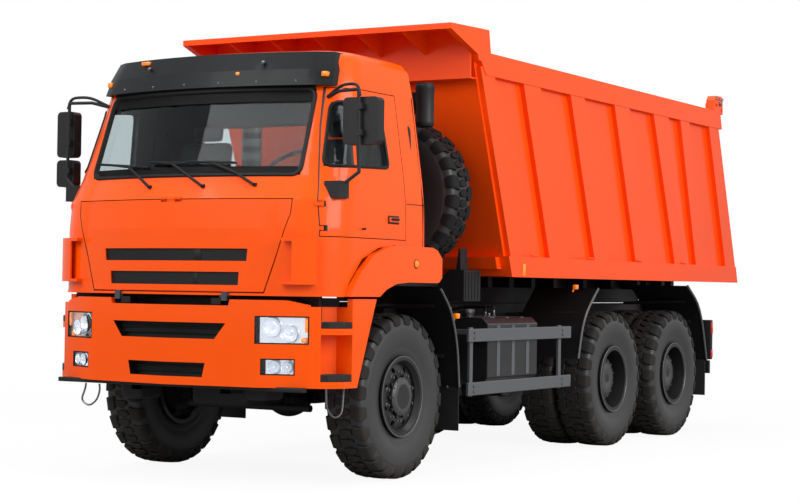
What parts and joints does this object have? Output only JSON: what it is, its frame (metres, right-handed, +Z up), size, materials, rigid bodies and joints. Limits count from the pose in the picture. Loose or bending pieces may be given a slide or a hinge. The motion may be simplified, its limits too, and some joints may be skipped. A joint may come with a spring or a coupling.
{
  "type": "three-axle dump truck",
  "caption": "All-wheel-drive rear-tipping truck with a forward-control tilting cab, canopied high-sided dump body, hinged tailgate, telescopic hoist and free-rolling wheels.",
  "frame": {"origin": "middle of the overall length and width, on the ground", "axes": "+X to the truck's left, +Y to its rear, +Z up"},
  "size_m": [2.824, 8.0922, 3.392],
  "materials": {
    "tyre_rubber": "matt moulded",
    "rim_grey": "satin dark grey",
    "frame_black": "satin black",
    "cast_grey": "painted black",
    "cab_orange": "gloss orange",
    "body_orange": "gloss orange",
    "black_plastic": "grained",
    "lamp_clear": "clear lens",
    "glass_dark": "tinted",
    "guard_grey": "satin grey",
    "bumper_orange": "gloss orange",
    "cabin_grey": "grained",
    "flap_rubber": "matt",
    "chromed_rod": "polished"
  },
  "bodies": {
    "chassis": {"chassis_frame": "frame_black", "tipping_subframe": "frame_black", "engine_block": "cast_grey", "driveline": "cast_grey", "front_axle": "cast_grey", "rear_axles": "cast_grey", "bumper": "bumper_orange", "road_lamps": "lamp_clear", "air_intake": "black_plastic", "spare_carrier": "frame_black", "spare_tyre": "tyre_rubber", "spare_rim": "rim_grey", "fuel_tank": "frame_black", "air_tanks": "frame_black", "exhaust": "frame_black", "side_guard_left": "guard_grey", "side_guard_right": "guard_grey", "mudguards_left": "flap_rubber", "mudguards_right": "flap_rubber", "rear_hitch": "frame_black", "step_treads": "black_plastic"},
    "cab": {"cab_shell": "cab_orange", "cab_glass": "glass_dark", "sun_visor": "black_plastic", "fenders": "cab_orange", "cab_interior": "cabin_grey", "wipers": "black_plastic"},
    "left_door": {"door_left": "cab_orange", "door_glass_left": "glass_dark", "mirror_left": "black_plastic"},
    "right_door": {"door_right": "cab_orange", "door_glass_right": "glass_dark", "mirror_right": "black_plastic"},
    "grille_panel": {"front_panel": "cab_orange", "grille_mesh": "black_plastic"},
    "left_knuckle": {"knuckle_left": "cast_grey"},
    "right_knuckle": {"knuckle_right": "cast_grey"},
    "front_left_wheel": {"front_tyre_left": "tyre_rubber", "front_rim_left": "rim_grey"},
    "front_right_wheel": {"front_tyre_right": "tyre_rubber", "front_rim_right": "rim_grey"},
    "mid_left_wheels": {"mid_tyres_left": "tyre_rubber", "mid_rims_left": "rim_grey"},
    "mid_right_wheels": {"mid_tyres_right": "tyre_rubber", "mid_rims_right": "rim_grey"},
    "rear_left_wheels": {"rear_tyres_left": "tyre_rubber", "rear_rims_left": "rim_grey"},
    "rear_right_wheels": {"rear_tyres_right": "tyre_rubber", "rear_rims_right": "rim_grey"},
    "bed": {"dump_body": "body_orange", "bed_frame": "frame_black"},
    "gate": {"tailgate": "body_orange"},
    "hoist": {"hoist_barrel": "frame_black"},
    "hoist_s1": {"hoist_stage_1": "chromed_rod"},
    "hoist_s2": {"hoist_stage_2": "chromed_rod"},
    "hoist_s3": {"hoist_stage_3": "chromed_rod"},
    "hoist_s4": {"hoist_stage_4": "chromed_rod"},
    "hoist_eye": {"hoist_rod": "chromed_rod"}
  },
  "joints": [
    {"name": "cab_tilt", "type": "hinge", "parent": "chassis", "child": "cab", "pos_m": [0, -3.955, 1.305], "axis": [1, 0, 0], "range_deg": [0, 45]},
    {"name": "left_door_hinge", "type": "hinge", "parent": "cab", "child": "left_door", "pos_m": [1.096, -3.733, 2.2], "axis": [0, 0, -1], "range_deg": [0, 65]},
    {"name": "right_door_hinge", "type": "hinge", "parent": "cab", "child": "right_door", "pos_m": [-1.096, -3.733, 2.2], "axis": [0, 0, 1], "range_deg": [0, 65]},
    {"name": "grille_panel_hinge", "type": "hinge", "parent": "cab", "child": "grille_panel", "pos_m": [0, -3.976, 1.985], "axis": [-1, 0, 0], "range_deg": [0, 75]},
    {"name": "steer_left", "type": "hinge", "parent": "chassis", "child": "left_knuckle", "pos_m": [0.772, -2.685, 0.6], "axis": [0, 0, 1], "range_deg": [-28, 28]},
    {"name": "steer_right", "type": "hinge", "parent": "chassis", "child": "right_knuckle", "pos_m": [-0.772, -2.685, 0.6], "axis": [0, 0, 1], "range_deg": [-28, 28]},
    {"name": "front_left_spin", "type": "hinge", "parent": "left_knuckle", "child": "front_left_wheel", "pos_m": [0.985, -2.685, 0.6], "axis": [1, 0, 0], "continuous": true},
    {"name": "front_right_spin", "type": "hinge", "parent": "right_knuckle", "child": "front_right_wheel", "pos_m": [-0.985, -2.685, 0.6], "axis": [1, 0, 0], "continuous": true},
    {"name": "mid_left_spin", "type": "hinge", "parent": "chassis", "child": "mid_left_wheels", "pos_m": [0.9, 0.915, 0.6], "axis": [1, 0, 0], "continuous": true},
    {"name": "mid_right_spin", "type": "hinge", "parent": "chassis", "child": "mid_right_wheels", "pos_m": [-0.9, 0.915, 0.6], "axis": [1, 0, 0], "continuous": true},
    {"name": "rear_left_spin", "type": "hinge", "parent": "chassis", "child": "rear_left_wheels", "pos_m": [0.9, 2.355, 0.6], "axis": [1, 0, 0], "continuous": true},
    {"name": "rear_right_spin", "type": "hinge", "parent": "chassis", "child": "rear_right_wheels", "pos_m": [-0.9, 2.355, 0.6], "axis": [1, 0, 0], "continuous": true},
    {"name": "bed_tip", "type": "hinge", "parent": "chassis", "child": "bed", "pos_m": [0, 3.515, 1.215], "axis": [-1, 0, 0], "range_deg": [0, 50]},
    {"name": "tailgate_swing", "type": "hinge", "parent": "bed", "child": "gate", "pos_m": [0, 3.465, 3.29], "axis": [1, 0, 0], "range_deg": [0, 55]},
    {"name": "hoist_lean", "type": "hinge", "parent": "chassis", "child": "hoist", "pos_m": [0, 0.335, 0.715], "axis": [1, 0, 0], "range_deg": [-23.85, 0]},
    {"name": "hoist_slide_1", "type": "slide", "parent": "hoist", "child": "hoist_s1", "axis": [0, 0, 1], "range_m": [0, 0.5268]},
    {"name": "hoist_slide_2", "type": "slide", "parent": "hoist_s1", "child": "hoist_s2", "axis": [0, 0, 1], "range_m": [0, 0.5268]},
    {"name": "hoist_slide_3", "type": "slide", "parent": "hoist_s2", "child": "hoist_s3", "axis": [0, 0, 1], "range_m": [0, 0.5268]},
    {"name": "hoist_slide_4", "type": "slide", "parent": "hoist_s3", "child": "hoist_s4", "axis": [0, 0, 1], "range_m": [0, 0.5268]},
    {"name": "hoist_slide_5", "type": "slide", "parent": "hoist_s4", "child": "hoist_eye", "axis": [0, 0, 1], "range_m": [0, 0.5268]}
  ],
  "couplings": [
    {"joint": "steer_right", "follows": "steer_left", "ratio": 1},
    {"joint": "hoist_lean", "follows": "bed_tip", "ratio": -0.45708},
    {"joint": "hoist_slide_1", "follows": "bed_tip", "m_per_rad": 0.60141},
    {"joint": "hoist_slide_2", "follows": "bed_tip", "m_per_rad": 0.60141},
    {"joint": "hoist_slide_3", "follows": "bed_tip", "m_per_rad": 0.60141},
    {"joint": "hoist_slide_4", "follows": "bed_tip", "m_per_rad": 0.60141},
    {"joint": "hoist_slide_5", "follows": "bed_tip", "m_per_rad": 0.60141}
  ]
}
